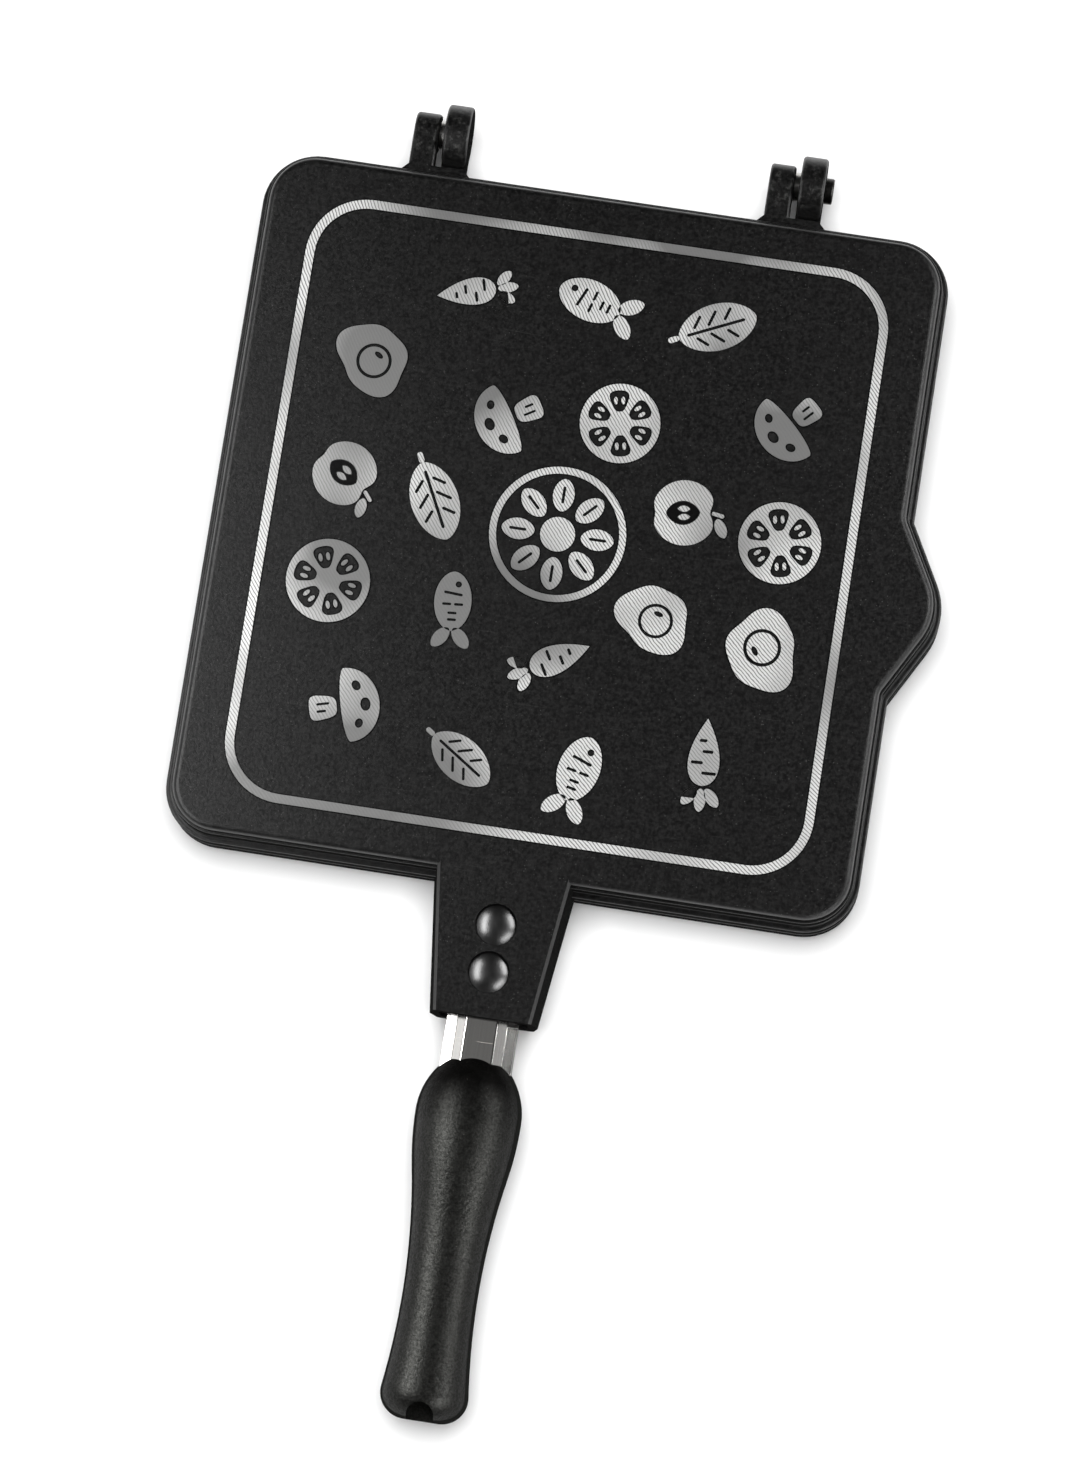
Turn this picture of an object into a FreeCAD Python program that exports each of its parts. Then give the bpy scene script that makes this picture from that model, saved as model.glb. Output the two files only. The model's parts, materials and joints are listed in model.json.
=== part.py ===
"""Double-sided frying pan: two cast halves hinged at the back, each with its own stem and half grip.

Millimetres, +Z up. The origin is the middle of the face that the shut pan rests on. The handle points
along -Y, the hinges are at +Y and the pouring lip is at +X. Every piece of a half is drawn for the lower
half, from the resting face (z = 0) up to the parting plane, and the upper half is its reflection.
"""
import FreeCAD, Part
import enum
import math
import os
import Sketcher
from FreeCAD import Vector

doc = FreeCAD.newDocument("double_sided_frying_pan")
sheet = doc.addObject("Spreadsheet::Sheet", "dims")

SIZES = {
    # Cast halves
    "pan_width": 240.0,         # rim, side to side, without the lip
    "pan_length": 243.0,        # rim, hinge side to handle side
    "pan_corner": 19.0,         # corner radius of the rim
    "half_depth": 20.0,         # resting face to parting plane
    "rim_gap": 0.4,             # daylight between the two shut halves
    "rim_height": 8.1,          # thickness of the rim flange
    "rim_step": 2.2,            # how far the flange stands out from the foot of the wall
    "rim_round": 0.8,           # rounded edges of the flange
    "wall_draft": 1.5,          # lean of the cooking cavity's wall
    "wall_foot": 0.7,           # fillet between wall and flange
    "ledge_depth": 4.0,         # outer face to the ledge that runs round the wall
    "ledge_step": 0.9,          # width of the ledge
    "ledge_round": 0.4,         # rounded edge of the ledge
    "face_round": 2.4,          # rounded edge of the outer face
    "wall_thick": 3.2,
    "floor_thick": 3.6,
    "cavity_round": 3.0,        # fillet around the cooking surface
    # Pouring lip
    "lip_shift": 7.0,           # lip centre, from the pan centre towards the handle
    "lip_base": 63.0,           # distance between the centres of its two root fillets
    "lip_reach": 13.8,
    "lip_nose": 23.0,           # radius of its tip
    "lip_root": 1.6,            # radius of its root fillets
    # Raised frame line of the outer face
    "frame_width": 202.6,
    "frame_length": 212.0,
    "frame_corner": 21.0,
    "frame_band": 3.1,
    "frame_height": 0.4,
    "hub_disc": 12.0,           # raised disc at the centre of the face
    # Handle tongue of the casting
    "tongue_length": 45.6,      # past the rim
    "tongue_root": 44.2,        # width of its face at the pan
    "tongue_end": 31.6,         # width of its face at the free end
    "tongue_edge": 1.1,         # chamfer along its face
    "tongue_draft": 1.8,        # lean of its sides
    "tongue_drop": 4.6,         # its free end, below the level of the outer face
    "tongue_wall": 3.4,
    "tongue_stop": 2.0,         # solid metal between the rim and the tongue's hollow
    # Rivets
    "rivet_first": 14.0,        # first rivet, past the rim
    "rivet_pitch": 16.2,
    "rivet_head": 14.0,
    "rivet_dome": 2.7,          # height of the domed head
    "rivet_shank": 5.0,
    "rivet_tail": 8.0,
    "rivet_tail_height": 1.6,
    "seat_depth": 0.7,          # spot-faced seat under a rivet head
    "seat_clearance": 0.05,     # around a rivet head in its seat
    # Stem
    "stem_height": 9.0,         # web of the stem, from the parting face
    "stem_sheet": 2.0,
    "stem_web": 10.8,           # flat of the web, bend to bend
    "stem_slope": 3.2,          # rise of each sloping side
    "stem_width": 24.4,
    "stem_flare": 1.7,          # fall of each flange towards its edge
    "stem_bend": 1.2,
    "stem_bite": 14.0,          # formed section held in the grip's nose
    "stem_clearance": 1.0,      # stem end to the end of the tongue's hollow
    "tang_width": 7.0,
    "socket_clearance": 0.2,
    # Grip
    "grip_start": 56.0,         # nose of the grip, past the rim
    "grip_length": 127.2,
    "grip_width": 36.4,
    "grip_waist": 25.6,
    "grip_nose": 14.0,          # radius of the nose tip
    "grip_shoulder": 23.0,      # nose to the widest place
    "grip_belly": 108.0,        # radius of the sides behind the widest place
    "grip_hollow": 84.0,        # nose to the waist
    "grip_flare": 250.0,        # radius of the sides from the waist to the end
    "grip_end_round": 9.0,
    # Grip screw, bush and magnet
    "recess_width": 9.3,        # recess for the screw, in the grip's end
    "recess_depth": 12.0,
    "recess_floor": 2.2,        # parting face to the recess
    "recess_roof": 13.3,        # parting face to the top of the arch, at the recess's inner end
    "recess_rise": 3.0,         # rise of the arch towards the end
    "screw_head": 7.0,
    "screw_head_height": 3.0,
    "screw_shank": 3.0,
    "screw_clearance": 0.2,     # around the shank and the bush
    "screw_driver": 2.5,        # across the hexagon socket's flats
    "screw_driver_depth": 1.6,
    "bush_diameter": 5.6,
    "bush_length": 10.0,
    "bush_gap": 3.0,            # bottom of the recess to the bush
    "screw_grip": 8.0,          # thread held in the bush
    "magnet_place": 58.0,       # nose of the grip to the magnet's centre
    "magnet_diameter": 12.0,
    "magnet_thick": 3.0,
    "magnet_clearance": 0.1,
    # Hinges
    "hinge_spacing": 124.8,     # centre to centre of the two hinges
    "hinge_gap": 2.0,           # between the two ears of a hinge
    "ear_width": 8.8,
    "ear_height": 7.0,          # flat of the ears, from the parting plane
    "lower_eye": 11.0,          # radius of the lower half's ears
    "upper_eye": 7.0,           # radius of the upper half's ears
    "ear_round": 1.2,           # rounded edges of the ears
    "pin_reach": 15.4,          # pin axis, past the rim
    "pin_diameter": 5.0,
    "pin_running": 0.05,        # radial clearance in the lower ears
    "pin_inset": 0.4,           # pin end below the face of the ear
    "pin_head": 9.0,
    "pin_head_height": 2.8,
    "pin_head_gap": 0.2,
    "tab_depth": 2.5,
    "tab_flare": 2.2,
    "washer_diameter": 10.0,
    "washer_play": 0.15,        # on each side of the washer, and around the pin
}


class Measure:
    """A size of the sheet, or a sum of sizes, as both an expression and its present value."""

    def __init__(self, text, number):
        self.text = text
        self.number = number

    def combine(self, sign, other, number):
        other_text = other.text if isinstance(other, Measure) else repr(other)
        return Measure(f"({self.text} {sign} {other_text})", number)

    def __add__(self, other):
        return self.combine("+", other, self.number + plain(other))

    def __sub__(self, other):
        return self.combine("-", other, self.number - plain(other))

    def __mul__(self, other):
        return self.combine("*", other, self.number * plain(other))

    def __truediv__(self, other):
        return self.combine("/", other, self.number / plain(other))

    def __neg__(self):
        return Measure(f"(-1 * {self.text})", -self.number)


def plain(value):
    """The number of a Measure, or the value itself."""
    return value.number if isinstance(value, Measure) else value


class Dimensions:
    """Gives each size of the sheet as a Measure, by its alias."""

    def __getattr__(self, alias):
        return Measure(f"dims.{alias}", float(SIZES[alias]))


for row, (alias, value) in enumerate(SIZES.items(), start=1):
    sheet.set(f"A{row}", alias.replace("_", " "))
    sheet.set(f"B{row}", str(value))
    sheet.setAlias(f"B{row}", alias)
doc.recompute()
d = Dimensions()

zero = d.half_depth * 0
face_z = d.frame_height
rim_z = d.half_depth - d.rim_gap / 2
rim_y = d.pan_length / 2
flange_z = rim_z - d.rim_height
ledge_z = face_z + d.ledge_depth
web_z = rim_z - d.stem_height
pin_y = rim_y + d.pin_reach
tongue_root_y = rim_y - d.rim_step - d.ledge_step - d.face_round
tongue_end_y = rim_y + d.tongue_length
RIVETS = {"front": rim_y + d.rivet_first, "rear": rim_y + d.rivet_first + d.rivet_pitch}
grip_y = rim_y + d.grip_start
grip_end_y = grip_y + d.grip_length


def seat_level(rivet_y):
    """Height of a rivet's seat, under the sloping face of the tongue."""
    share = (rivet_y - tongue_root_y) / (tongue_end_y - tongue_root_y)
    return face_z + share * d.tongue_drop + d.seat_depth


def bind(target, prop, measure):
    """Tie a property of an object to the sheet."""
    target.setExpression(prop, measure.text)


def new_body(name):
    body = doc.addObject("PartDesign::Body", name)
    body.Label = name
    return body


def new_sketch(body, name, plane, offset):
    """A sketch on one of the body's origin planes, moved along the plane's normal."""
    sketch = body.newObject("Sketcher::SketchObject", name)
    support = [feature for feature in body.Origin.OriginFeatures if feature.Role == plane][0]
    sketch.AttachmentSupport = (support, "")
    sketch.MapMode = "FlatFace"
    bind(sketch, "AttachmentOffset.Base.z", offset)
    return sketch


def limit(sketch, kind, measure, *where):
    """Add a dimension to a sketch, tied to the sheet. Distances from the origin keep a positive value."""
    index = sketch.addConstraint(Sketcher.Constraint(kind, *where, measure.number))
    bind(sketch, f"Constraints[{index}]", measure)


def place(sketch, axis, geometry, point, measure):
    """Fix one coordinate of a point of the sketch: DistanceX or DistanceY from its origin."""
    if measure.number >= 0:
        limit(sketch, "Distance" + axis, measure, -1, 1, geometry, point)
    else:
        limit(sketch, "Distance" + axis, -measure, geometry, point, -1, 1)


# The three points of a line or an arc, in the order in which a sketch numbers them from 1
START, END, CENTRE = enum.IntEnum("SketchPoint", "START END CENTRE")


class Path:
    """A closed chain of lines and arcs in a sketch, joined end to end."""

    def __init__(self, sketch):
        self.sketch = sketch
        self.links = []

    def line(self, start, end):
        segment = Part.LineSegment(Vector(*start), Vector(*end))
        index = self.sketch.addGeometry(segment, False)
        self.links.append((index, START, END))
        return index

    def arc(self, centre, radius, first, last):
        """An arc from one angle to another. It is travelled clockwise where the last angle is smaller."""
        circle = Part.Circle(Vector(*centre), Vector(0, 0, 1), radius)
        index = self.sketch.addGeometry(Part.ArcOfCircle(circle, min(first, last), max(first, last)), False)
        self.links.append((index, START, END) if last > first else (index, END, START))
        return index

    def close(self, smooth):
        """Join each link to the next one: smoothly where the pair is in smooth, else at a corner."""
        for number, (index, _, tail) in enumerate(self.links):
            following, head, _ = self.links[(number + 1) % len(self.links)]
            kind = "Tangent" if (index, following) in smooth else "Coincident"
            self.sketch.addConstraint(Sketcher.Constraint(kind, index, tail, following, head))


def pan_outline(sketch, inset):
    """The rounded square of the pan with its lip, moved inwards by inset."""
    side_x = d.pan_width / 2 - inset
    end_y = rim_y - inset
    corner = d.pan_corner - inset
    nose = d.lip_nose - inset
    root = d.lip_root + inset
    nose_x = d.pan_width / 2 + d.lip_reach - d.lip_nose
    lip_y = -d.lip_shift
    upper_root_y = d.lip_base / 2 - d.lip_shift
    lower_root_y = -(d.lip_base / 2 + d.lip_shift)

    x, y, r = side_x.number, end_y.number, corner.number
    root_x = x + root.number
    across = nose_x.number - root_x
    span = math.hypot(across, d.lip_base.number / 2)
    # Direction of the flank that touches the root fillet on one side and the tip on the other
    turn = math.asin((nose.number + root.number) / span) + math.atan2(across, d.lip_base.number / 2)
    facing = (math.cos(turn), math.sin(turn))

    def around(centre, radius, sign):
        return (centre[0] + radius * facing[0], centre[1] + sign * radius * facing[1])

    upper_root = (root_x, upper_root_y.number)
    lower_root = (root_x, lower_root_y.number)
    tip = (nose_x.number, lip_y.number)
    quarter = math.pi / 2
    path = Path(sketch)
    top = path.line((x - r, y), (r - x, y))
    top_left = path.arc((r - x, y - r), r, quarter, 2 * quarter)
    left = path.line((-x, y - r), (-x, r - y))
    low_left = path.arc((r - x, r - y), r, 2 * quarter, 3 * quarter)
    bottom = path.line((r - x, -y), (x - r, -y))
    low_right = path.arc((x - r, r - y), r, 3 * quarter, 4 * quarter)
    right_low = path.line((x, r - y), (x, lower_root[1]))
    root_low = path.arc(lower_root, root.number, 2 * quarter, 2 * quarter - turn)
    flank_low = path.line(around(lower_root, -root.number, -1), around(tip, nose.number, -1))
    lip_tip = path.arc(tip, nose.number, -turn, turn)
    flank_top = path.line(around(tip, nose.number, 1), around(upper_root, -root.number, 1))
    root_top = path.arc(upper_root, root.number, 2 * quarter + turn, 2 * quarter)
    right_top = path.line((x, upper_root[1]), (x, y - r))
    top_right = path.arc((x - r, y - r), r, 0, quarter)
    count = top_right + 1
    path.close({(index, (index + 1) % count) for index in range(count)})

    for flat in (top, bottom):
        sketch.addConstraint(Sketcher.Constraint("Horizontal", flat))
    for upright in (left, right_low, right_top):
        sketch.addConstraint(Sketcher.Constraint("Vertical", upright))
    for arc in (top_left, low_left, low_right, top_right):
        limit(sketch, "Radius", corner, arc)
    for arc in (root_low, root_top):
        limit(sketch, "Radius", root, arc)
    limit(sketch, "Radius", nose, lip_tip)
    place(sketch, "Y", top, START, end_y)
    place(sketch, "Y", bottom, START, -end_y)
    place(sketch, "X", left, START, -side_x)
    place(sketch, "X", right_low, START, side_x)
    place(sketch, "X", right_top, START, side_x)
    place(sketch, "X", lip_tip, CENTRE, nose_x)
    place(sketch, "Y", lip_tip, CENTRE, lip_y)
    place(sketch, "Y", root_top, CENTRE, upper_root_y)
    place(sketch, "Y", root_low, CENTRE, lower_root_y)
    return sketch


def rounded_rectangle(sketch, width, length, corner):
    """A rectangle about the sketch's origin, with round corners."""
    x, y, r = width.number / 2, length.number / 2, corner.number
    quarter = math.pi / 2
    path = Path(sketch)
    links = []
    for turn, (sign_x, sign_y) in enumerate(((1, 1), (-1, 1), (-1, -1), (1, -1))):
        centre = (sign_x * (x - r), sign_y * (y - r))
        links.append(path.arc(centre, r, turn * quarter, (turn + 1) * quarter))
        if turn % 2 == 0:
            links.append(path.line((centre[0], sign_y * y), (-centre[0], sign_y * y)))
        else:
            links.append(path.line((sign_x * x, centre[1]), (sign_x * x, -centre[1])))
    path.close({(first, second) for first, second in zip(links, links[1:] + links[:1])})
    for number, line in enumerate(links[1::2]):
        sketch.addConstraint(Sketcher.Constraint("Vertical" if number % 2 else "Horizontal", line))
    for arc in links[0::2]:
        limit(sketch, "Radius", corner, arc)
    place(sketch, "Y", links[1], START, length / 2)
    place(sketch, "X", links[3], START, -(width / 2))
    place(sketch, "Y", links[5], START, -(length / 2))
    place(sketch, "X", links[7], START, width / 2)


def polygon(sketch, corners):
    """A closed chain of straight lines through corners given as pairs of Measures."""
    path = Path(sketch)
    points = [(x.number, y.number) for x, y in corners]
    for start, end in zip(points, points[1:] + points[:1]):
        path.line(start, end)
    path.close(set())
    for (index, start, _), (x, y) in zip(path.links, corners):
        place(sketch, "X", index, start, x)
        place(sketch, "Y", index, start, y)


def circle(sketch, x, y, diameter):
    """A circle with its centre at a pair of Measures."""
    shape = Part.Circle(Vector(x.number, y.number, 0), Vector(0, 0, 1), diameter.number / 2)
    index = sketch.addGeometry(shape, False)
    limit(sketch, "Diameter", diameter, index)
    place(sketch, "X", index, CENTRE, x)
    place(sketch, "Y", index, CENTRE, y)


def pad(body, sketch, length):
    feature = body.newObject("PartDesign::Pad", sketch.Name + "_pad")
    feature.Profile = sketch
    bind(feature, "Length", length)
    doc.recompute()
    return feature


def pocket(body, sketch, depth, along_normal=False):
    """Cut a sketch into the body, against the sketch's normal or along it."""
    before = body.Shape.Volume
    feature = body.newObject("PartDesign::Pocket", sketch.Name + "_cut")
    feature.Profile = sketch
    bind(feature, "Length", depth)
    feature.Reversed = along_normal
    doc.recompute()
    if not body.Shape.Volume < before:
        raise RuntimeError(f"{feature.Name} removes nothing")
    return feature


def loft(body, kind, sections):
    """A ruled loft, additive or subtractive, through sketches with the same number of sides."""
    feature = body.newObject(f"PartDesign::{kind}Loft", sections[0].Name + "_loft")
    feature.Profile = sections[0]
    feature.Sections = sections[1:]
    feature.Ruled = True
    doc.recompute()
    return feature


def fillet(body, name, radius, chosen):
    """Round the edges of the body that a test picks out."""
    base = body.Tip
    edges = [f"Edge{number}" for number, edge in enumerate(base.Shape.Edges, start=1) if chosen(edge)]
    if not edges:
        raise RuntimeError(f"{name} finds no edge")
    feature = body.newObject("PartDesign::Fillet", name)
    feature.Base = (base, edges)
    bind(feature, "Radius", radius)
    doc.recompute()
    return feature


def lies_at(level):
    """A test for edges that lie in the plane at a height."""
    def chosen(edge):
        box = edge.BoundBox
        return abs(box.ZMin - level.number) < 1e-4 and abs(box.ZMax - level.number) < 1e-4
    return chosen


def runs_along_y(x, z):
    """A test for straight edges along Y at one place across, on either side of the middle."""
    def chosen(edge):
        box = edge.BoundBox
        flat = box.XLength < 1e-4 and box.ZLength < 1e-4
        return flat and abs(abs(box.XMin) - x.number) < 1e-3 and abs(box.ZMin - z.number) < 1e-3
    return chosen


def eye_edge(ear_x, eye):
    """A test for the round edges of an ear, on both of its sides."""
    def chosen(edge):
        box = edge.BoundBox
        near, far = abs(box.XMin - ear_x.number), abs(box.XMin - ear_x.number - d.ear_width.number)
        curved = isinstance(edge.Curve, Part.Circle) and abs(edge.Curve.Radius - eye.number) < 1e-4
        return box.XLength < 1e-4 and min(near, far) < 1e-4 and curved
    return chosen


def tongue_section(body, name, along, face_level, width):
    """The tongue across its length: a chamfered face and drafted sides down to the parting plane."""
    face_x = width / 2
    edge_x = face_x + d.tongue_edge
    foot_x = edge_x + d.tongue_draft
    edge_z = face_level + d.tongue_edge
    sketch = new_sketch(body, name, "XZ_Plane", along)
    polygon(sketch, [
        (face_x, face_level), (edge_x, edge_z), (foot_x, rim_z),
        (-foot_x, rim_z), (-edge_x, edge_z), (-face_x, face_level),
    ])
    return sketch


def pan_casting(half, eye, ear_side):
    """One cast half: wall, flange, lip, tongue and hinge ears, hollowed for cooking and for the stem."""
    body = new_body(f"{half}_casting")

    # Outer face with a rounded edge, a ledge round the wall, and the flange of the rim
    wall = pan_outline(new_sketch(body, f"{half}_wall", "XY_Plane", ledge_z), d.rim_step)
    pad(body, wall, flange_z - ledge_z)
    fillet(body, f"{half}_ledge_round", d.ledge_round, lies_at(ledge_z))
    face = pan_outline(new_sketch(body, f"{half}_face", "XY_Plane", face_z), d.rim_step + d.ledge_step)
    pad(body, face, flange_z - face_z)
    fillet(body, f"{half}_face_round", d.face_round, lies_at(face_z))
    flange = pan_outline(new_sketch(body, f"{half}_flange", "XY_Plane", flange_z), zero)
    pad(body, flange, d.rim_height)

    def on_foot(edge):
        at = edge.valueAt((edge.FirstParameter + edge.LastParameter) / 2)
        return wall.Shape.distToShape(Part.Vertex(at.x, at.y, ledge_z.number))[0] < 1e-4

    def rim_edge(edge):
        return (lies_at(flange_z)(edge) or lies_at(rim_z)(edge)) and not on_foot(edge)

    def foot_edge(edge):
        return lies_at(flange_z)(edge) and on_foot(edge)

    fillet(body, f"{half}_rim_round", d.rim_round, rim_edge)
    fillet(body, f"{half}_wall_foot", d.wall_foot, foot_edge)

    # Tongue, narrower and lower towards its free end
    loft(body, "Additive", [
        tongue_section(body, f"{half}_tongue_root", tongue_root_y, face_z, d.tongue_root),
        tongue_section(body, f"{half}_tongue_end", tongue_end_y, face_z + d.tongue_drop, d.tongue_end),
    ])

    # Hinge tabs with flared roots, and one ear on each
    inside_y = rim_y - d.rim_step - d.wall_thick / 2
    arm_z = d.half_depth - d.ear_height
    tab_half = d.hinge_gap / 2 + d.ear_width
    for name, hinge_x in (("left", -(d.hinge_spacing / 2)), ("right", d.hinge_spacing / 2)):
        tab = new_sketch(body, f"{half}_{name}_tab", "XY_Plane", arm_z)
        flare = d.tab_flare
        out_y = rim_y + d.tab_depth
        low_x, high_x = hinge_x - tab_half, hinge_x + tab_half
        polygon(tab, [
            (high_x + flare, inside_y), (high_x + flare, rim_y), (high_x, rim_y + flare), (high_x, out_y),
            (low_x, out_y), (low_x, rim_y + flare), (low_x - flare, rim_y), (low_x - flare, inside_y),
        ])
        pad(body, tab, rim_z - arm_z)
        ear_x = hinge_x + d.hinge_gap / 2 if ear_side > 0 else hinge_x - tab_half
        eye_sketch = new_sketch(body, f"{half}_{name}_eye", "YZ_Plane", ear_x)
        circle(eye_sketch, pin_y, d.half_depth, eye * 2)
        pad(body, eye_sketch, d.ear_width)
        arm = new_sketch(body, f"{half}_{name}_arm", "YZ_Plane", ear_x)
        polygon(arm, [(inside_y, arm_z), (pin_y, arm_z), (pin_y, rim_z), (inside_y, rim_z)])
        pad(body, arm, d.ear_width)
        fillet(body, f"{half}_{name}_eye_round", d.ear_round, eye_edge(ear_x, eye))

    # Hollows: cooking cavity, and the tongue's channel that takes the stem
    cavity_z = face_z + d.floor_thick
    mouth_inset = d.rim_step + d.wall_thick
    mouth = pan_outline(new_sketch(body, f"{half}_mouth", "XY_Plane", rim_z), mouth_inset)
    cooking = new_sketch(body, f"{half}_cooking", "XY_Plane", cavity_z)
    pan_outline(cooking, mouth_inset + d.wall_draft)
    loft(body, "Subtractive", [mouth, cooking])
    fillet(body, f"{half}_cavity_round", d.cavity_round, lies_at(cavity_z))

    spread = d.tongue_edge + d.tongue_draft - d.tongue_wall
    hollow = new_sketch(body, f"{half}_hollow", "XY_Plane", rim_z)
    near_x, far_x = d.tongue_root / 2 + spread, d.tongue_end / 2 + spread
    near_y = -(rim_y + d.tongue_stop)
    far_y = -tongue_end_y
    polygon(hollow, [(near_x, near_y), (-near_x, near_y), (-far_x, far_y), (far_x, far_y)])
    pocket(body, hollow, d.stem_height)

    # Seats and holes of the rivets
    holes = new_sketch(body, f"{half}_holes", "XY_Plane", zero)
    for name, rivet_y in RIVETS.items():
        circle(holes, zero, -rivet_y, d.rivet_shank)
        seat = new_sketch(body, f"{half}_{name}_seat", "XY_Plane", zero)
        circle(seat, zero, -rivet_y, d.rivet_head + d.seat_clearance * 2)
        pocket(body, seat, seat_level(rivet_y), along_normal=True)
    pocket(body, holes, web_z, along_normal=True)

    # Bores of the hinge pins: a running fit below, a press fit above
    bore = d.pin_diameter + d.pin_running * 2 if half == "lower" else d.pin_diameter
    bores = new_sketch(body, f"{half}_bores", "YZ_Plane", -(d.pan_width / 2))
    circle(bores, pin_y, d.half_depth, bore)
    pocket(body, bores, d.pan_width, along_normal=True)

    # Raised frame line and centre disc of the outer face
    frame = new_sketch(body, f"{half}_frame", "XY_Plane", zero)
    rounded_rectangle(frame, d.frame_width, d.frame_length, d.frame_corner)
    band = d.frame_band
    rounded_rectangle(frame, d.frame_width - band * 2, d.frame_length - band * 2, d.frame_corner - band)
    circle(frame, zero, zero, d.hub_disc)
    pad(body, frame, d.frame_height + d.floor_thick / 2)
    return body


def stem_corners(room):
    """The stem's hat section, grown by a clearance: a web, two sloping sides and two flanges."""
    sheet_bend = d.stem_sheet * (math.sqrt(2) - 1)
    web = d.stem_web / 2
    foot = web + d.stem_slope
    outer_web = web + room * (math.sqrt(2) - 1)
    outer_foot = foot + room * (math.sqrt(2) - 1)
    inner_web = web - sheet_bend - room * (math.sqrt(2) - 1)
    inner_foot = foot - sheet_bend - room * (math.sqrt(2) - 1)
    side = d.stem_width / 2 + room
    outer_z = web_z - room
    flange_top = web_z + d.stem_slope - room
    flange_under = web_z + d.stem_slope + d.stem_sheet + room
    flare = d.stem_flare
    web_under = web_z + d.stem_sheet + room
    half = [
        (outer_web, outer_z), (outer_foot, flange_top), (side, flange_top + flare),
        (side, flange_under + flare), (inner_foot, flange_under), (inner_web, web_under),
    ]
    return half + [(-x, z) for x, z in reversed(half)]


def stem(half):
    """Formed stainless channel, riveted in the tongue, with a flat tang that runs through the grip."""
    body = new_body(f"{half}_stem")
    start_y = rim_y + d.tongue_stop + d.stem_clearance
    formed = new_sketch(body, f"{half}_stem_section", "XZ_Plane", start_y)
    polygon(formed, stem_corners(zero))
    formed_end = grip_y + d.stem_bite
    pad(body, formed, formed_end - start_y)
    fillet(body, f"{half}_stem_bends", d.stem_bend, runs_along_y(d.stem_web / 2, web_z))
    fillet(body, f"{half}_stem_feet", d.stem_bend,
           runs_along_y(d.stem_web / 2 + d.stem_slope, web_z + d.stem_slope))
    tang = new_sketch(body, f"{half}_tang", "XZ_Plane", formed_end - d.stem_sheet)
    tang_x = d.tang_width / 2
    under_z = web_z + d.stem_sheet
    polygon(tang, [(tang_x, web_z), (tang_x, under_z), (-tang_x, under_z), (-tang_x, web_z)])
    pad(body, tang, bush_y - formed_end + d.stem_sheet)
    holes = new_sketch(body, f"{half}_stem_holes", "XY_Plane", web_z)
    for rivet_y in RIVETS.values():
        circle(holes, zero, -rivet_y, d.rivet_shank)
    pocket(body, holes, d.stem_sheet, along_normal=True)
    return body


screw_z = web_z + d.stem_sheet / 2
seat_y = grip_end_y - d.recess_depth
bush_y = seat_y - d.bush_gap - d.bush_length


def recess_section(body, name, along, roof):
    """The recess of the grip's end across its length: a flat floor, upright sides and an arch."""
    sketch = new_sketch(body, name, "XZ_Plane", along)
    radius = d.recess_width / 2
    floor_z = rim_z - d.recess_floor
    spring_z = rim_z - roof + radius
    x, low, high = radius.number, spring_z.number, floor_z.number
    path = Path(sketch)
    arch = path.arc((0.0, low), x, math.pi, 2 * math.pi)
    right = path.line((x, low), (x, high))
    floor = path.line((x, high), (-x, high))
    left = path.line((-x, high), (-x, low))
    path.close({(arch, right), (left, arch)})
    for upright in (left, right):
        sketch.addConstraint(Sketcher.Constraint("Vertical", upright))
    sketch.addConstraint(Sketcher.Constraint("Horizontal", floor))
    place(sketch, "Y", floor, START, floor_z)
    place(sketch, "X", arch, CENTRE, zero)
    place(sketch, "Y", arch, CENTRE, spring_z)
    limit(sketch, "Radius", radius, arch)
    return sketch


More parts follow.
